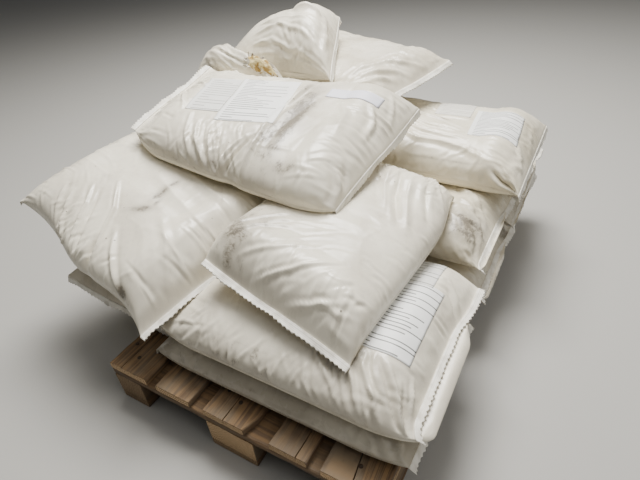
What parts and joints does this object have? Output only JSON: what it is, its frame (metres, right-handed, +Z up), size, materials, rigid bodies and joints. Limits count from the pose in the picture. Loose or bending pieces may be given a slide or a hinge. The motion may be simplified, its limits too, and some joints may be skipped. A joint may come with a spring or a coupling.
{
  "type": "pallet of filled sacks",
  "caption": "Wooden four-way pallet with a loose, leaning pile of filled white film sacks, end seams crimped, some overhanging the deck edges.",
  "frame": {"origin": "centre of the pallet's underside, on the floor", "axes": "+Z up; +X along the pallet's 800 mm front edge, to the right as seen from the front; +Y along its 1200 mm side, towards the back"},
  "size_m": [1.305, 1.5337, 0.7871],
  "materials": {
    "sack_film": "satin white polyethylene film, lightly soiled",
    "pallet_wood": "weathered rough-sawn softwood"
  },
  "bodies": {
    "root": {"block_back_left": "pallet_wood", "block_back_middle": "pallet_wood", "block_back_right": "pallet_wood", "block_centre_left": "pallet_wood", "block_centre_middle": "pallet_wood", "block_centre_right": "pallet_wood", "block_front_left": "pallet_wood", "block_front_middle": "pallet_wood", "block_front_right": "pallet_wood", "bottom_board_left": "pallet_wood", "bottom_board_middle": "pallet_wood", "bottom_board_right": "pallet_wood", "cross_board_back": "pallet_wood", "cross_board_centre": "pallet_wood", "cross_board_front": "pallet_wood", "deck_board_1": "pallet_wood", "deck_board_2": "pallet_wood", "deck_board_3": "pallet_wood", "deck_board_4": "pallet_wood", "deck_board_5": "pallet_wood", "sack_back_right": "sack_film", "sack_back_top": "sack_film", "sack_base_back": "sack_film", "sack_base_front": "sack_film", "sack_base_left": "sack_film", "sack_base_middle": "sack_film", "sack_fourth_back": "sack_film", "sack_front": "sack_film", "sack_left": "sack_film", "sack_second_back": "sack_film", "sack_second_front": "sack_film", "sack_second_middle": "sack_film", "sack_third_left": "sack_film", "sack_third_right": "sack_film", "sack_top": "sack_film", "sack_torn": "sack_film"}
  },
  "joints": []
}
